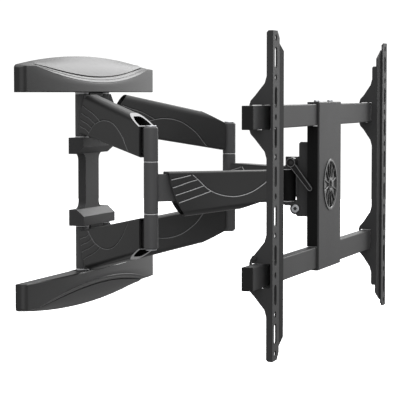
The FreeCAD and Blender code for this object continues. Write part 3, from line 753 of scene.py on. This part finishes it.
EDGE_RADIUS = {
    "wall_plate_top": 0.4,
    "wall_plate_bottom": 0.4,
    "spine": 1.2,
    "shoulder_pins": 0.5,
    "shoulder_washers": 0.3,
    "head_yoke": 0.5,
    "head_pins": 0.4,
    "head_washers": 0.2,
    "centre_column": 0.4,
    "tilt_bracket": 0.6,
    "tilt_pivot_bolt": 0.3,
    "tilt_pivot_nut": 0.5,
    "clamp_bolt": 0.7,
    "lever_spacer": 0.3,
    "rail_top": 0.3,
    "rail_bottom": 0.3,
    "rail_end_caps": 0.7,
    "column_screws": 0.2,
}
SIDE_EDGE_RADIUS = {
    "upper_bar": 0.5,
    "lower_bar": 0.5,
    "forearm_bar": 0.5,
    "elbow_washers": 0.2,
    "elbow_caps": 0.3,
    "bracket": 0.5,
    "bracket_lock_screw": 0.5,
}
HIDDEN_INSIDE = ("arm_bushes", "elbow_pin", "forearm_bushes")
ARM_BARS = ("upper_bar", "lower_bar", "forearm_bar")
HEAD_KNUCKLE_R = 16.0
STRIP_STEP = 2.2
STRIP_SLACK = 0.3
STRIP_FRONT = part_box("left_bracket")[0].y + STRIP_STEP * MM


def strip_in_painted_shade(face):
    """Front of the set-back strip beside the drilled face of a bracket."""
    return face.normal.y < -0.9 and abs(face.center.y - STRIP_FRONT) < STRIP_SLACK * MM


def near_head(face):
    """End of a forearm that turns in the head, always in its shade."""
    reach = HEAD_KNUCKLE_R * MM
    return any((face.center.xy - pin.xy).length < reach for pin in HEAD.values())


def make_cad_finish():
    """Rounded copies of the CAD nodes, and materials for those that stay hidden inside."""
    for node, radius in EDGE_RADIUS.items():
        finished(node, radius * MM)
    for side in ("left_", "right_"):
        for name, radius in SIDE_EDGE_RADIUS.items():
            piece = finished(side + name, radius * MM)
            if name in ARM_BARS:
                piece.data.materials[0] = MATERIALS["bar_steel"]
            if name == "bracket":
                # The set-back strip of each bracket is coloured darker as painted shade.
                shade(piece, "painted_shade_steel", strip_in_painted_shade)
        # The forearm's end in the head is coloured near-black as painted shade.
        shade(bpy.data.objects[side + "forearm_bar_finish"], "painted_shade_black", near_head)
        for name in HIDDEN_INSIDE:
            node = frame["nodes"][side + name]
            node.data.materials.clear()
            node.data.materials.append(MATERIALS[SLOT[side + name]])


# Stage, light and camera


FLOOR_R = 14.0
FLOOR_Z = -0.9
BACKDROP_STRENGTH = 1.1


def make_stage():
    """Pale floor below the mount, bright enough to merge with the backdrop."""

    def build(bm):
        bmesh.ops.create_circle(bm, cap_ends=True, segments=96, radius=FLOOR_R)
        bmesh.ops.translate(bm, verts=bm.verts, vec=(0, 0, FLOOR_Z))

    floor = bpy.data.objects.new("floor", mesh_from("floor", build))
    bpy.context.scene.collection.objects.link(floor)
    material, nodes, links, shader = new_material("pale_floor")
    tone = ramp(nodes, links, noise(nodes, links, 2.0), grey(0.93), grey(0.95))
    links.new(tone, shader.inputs["Base Color"])
    shader.inputs["Roughness"].default_value = 0.9
    shader.inputs["Emission Color"].default_value = (1, 1, 1, 1)
    shader.inputs["Emission Strength"].default_value = 0.9
    floor.data.materials.append(material)
    floor.visible_glossy = False
    floor.visible_diffuse = False


# Lights of the studio, as soft patches of sky: (direction, half angles in degrees where it
# starts and where it is full, strength)
SKY_BASE = 0.4
SKY = [
    ((0.95, -0.12, 0.38), 34, 12, 1.8),
    ((0.0, -0.1, 1.0), 60, 15, 1.5),
    ((-0.87, -0.45, 0.15), 48, 14, 0.8),
    ((0.0, -1.0, 0.3), 60, 10, 0.15),
]


def sky_patch(nodes, links, direction, centre, start, full, strength):
    """Round patch of light in the sky that fades out towards its rim."""
    facing = nodes.new("ShaderNodeVectorMath")
    facing.operation = "DOT_PRODUCT"
    facing.inputs[1].default_value = Vector(centre).normalized()
    links.new(direction, facing.inputs[0])
    fade = nodes.new("ShaderNodeMapRange")
    fade.interpolation_type = "SMOOTHSTEP"
    fade.inputs["From Min"].default_value = math.cos(math.radians(start))
    fade.inputs["From Max"].default_value = math.cos(math.radians(full))
    fade.inputs["To Max"].default_value = strength
    links.new(facing.outputs["Value"], fade.inputs["Value"])
    return fade.outputs["Result"]


def make_sky():
    """White to the camera, and a dim room with soft patches of light to the object."""
    world = bpy.data.worlds.new("studio")
    bpy.context.scene.world = world
    world.use_nodes = True
    nodes = world.node_tree.nodes
    links = world.node_tree.links
    room = nodes["Background"]
    place = nodes.new("ShaderNodeTexCoord")
    total = nodes.new("ShaderNodeValue")
    total.outputs[0].default_value = SKY_BASE
    level = total.outputs[0]
    for centre, start, full, strength in SKY:
        patch = sky_patch(nodes, links, place.outputs["Generated"], centre, start, full, strength)
        add = nodes.new("ShaderNodeMath")
        links.new(level, add.inputs[0])
        links.new(patch, add.inputs[1])
        level = add.outputs["Value"]
    room.inputs["Color"].default_value = (1, 1, 1, 1)
    links.new(level, room.inputs["Strength"])
    backdrop = nodes.new("ShaderNodeBackground")
    backdrop.inputs["Color"].default_value = (1, 1, 1, 1)
    backdrop.inputs["Strength"].default_value = BACKDROP_STRENGTH
    seen = nodes.new("ShaderNodeLightPath")
    choice = nodes.new("ShaderNodeMixShader")
    links.new(seen.outputs["Is Camera Ray"], choice.inputs["Fac"])
    links.new(room.outputs["Background"], choice.inputs[1])
    links.new(backdrop.outputs["Background"], choice.inputs[2])
    links.new(choice.outputs["Shader"], nodes["World Output"].inputs["Surface"])


def softbox(name, location, target, size, power):
    """Rectangular area light that is turned to its target."""
    data = bpy.data.lights.new(name, "AREA")
    data.shape = "RECTANGLE"
    data.size, data.size_y = size
    data.energy = power
    light = bpy.data.objects.new(name, data)
    light.location = location
    light.rotation_euler = (Vector(target) - Vector(location)).to_track_quat("-Z", "Y").to_euler()
    bpy.context.scene.collection.objects.link(light)


def make_lights():
    softbox("right_softbox", (2.6, -0.7, 1.3), (0, -0.15, 0.1), (1.2, 0.8), 14.0)
    softbox("top_softbox", (-0.4, -0.6, 2.2), (0, -0.2, 0), (1.6, 1.2), 12.0)


CAMERA_AT = (-2.354, -1.008, 0.1313)
CAMERA_AZIMUTH = 70.7
CAMERA_PITCH = 3.62
CAMERA_LENS = 153.0


def make_camera():
    """Standing to the left of the mount, at about its height, with a long lens."""
    azimuth = math.radians(CAMERA_AZIMUTH)
    pitch = math.radians(CAMERA_PITCH)
    ahead = Vector((math.sin(azimuth), math.cos(azimuth), 0))
    data = bpy.data.cameras.new("camera")
    data.sensor_width = 36.0
    data.lens = CAMERA_LENS
    camera = bpy.data.objects.new("camera", data)
    camera.location = CAMERA_AT
    look = ahead * math.cos(pitch) - UP * math.sin(pitch)
    camera.rotation_euler = look.to_track_quat("-Z", "Y").to_euler()
    bpy.context.scene.collection.objects.link(camera)
    bpy.context.scene.camera = camera
    bpy.context.scene.view_settings.view_transform = "Standard"


make_cad_finish()
make_sleeves()
make_covers()
make_emblem()
make_lever()
make_bolt_socket()
make_column_shade_sheets()
make_pin_bridges()
make_stage()
make_sky()
make_lights()
make_camera()
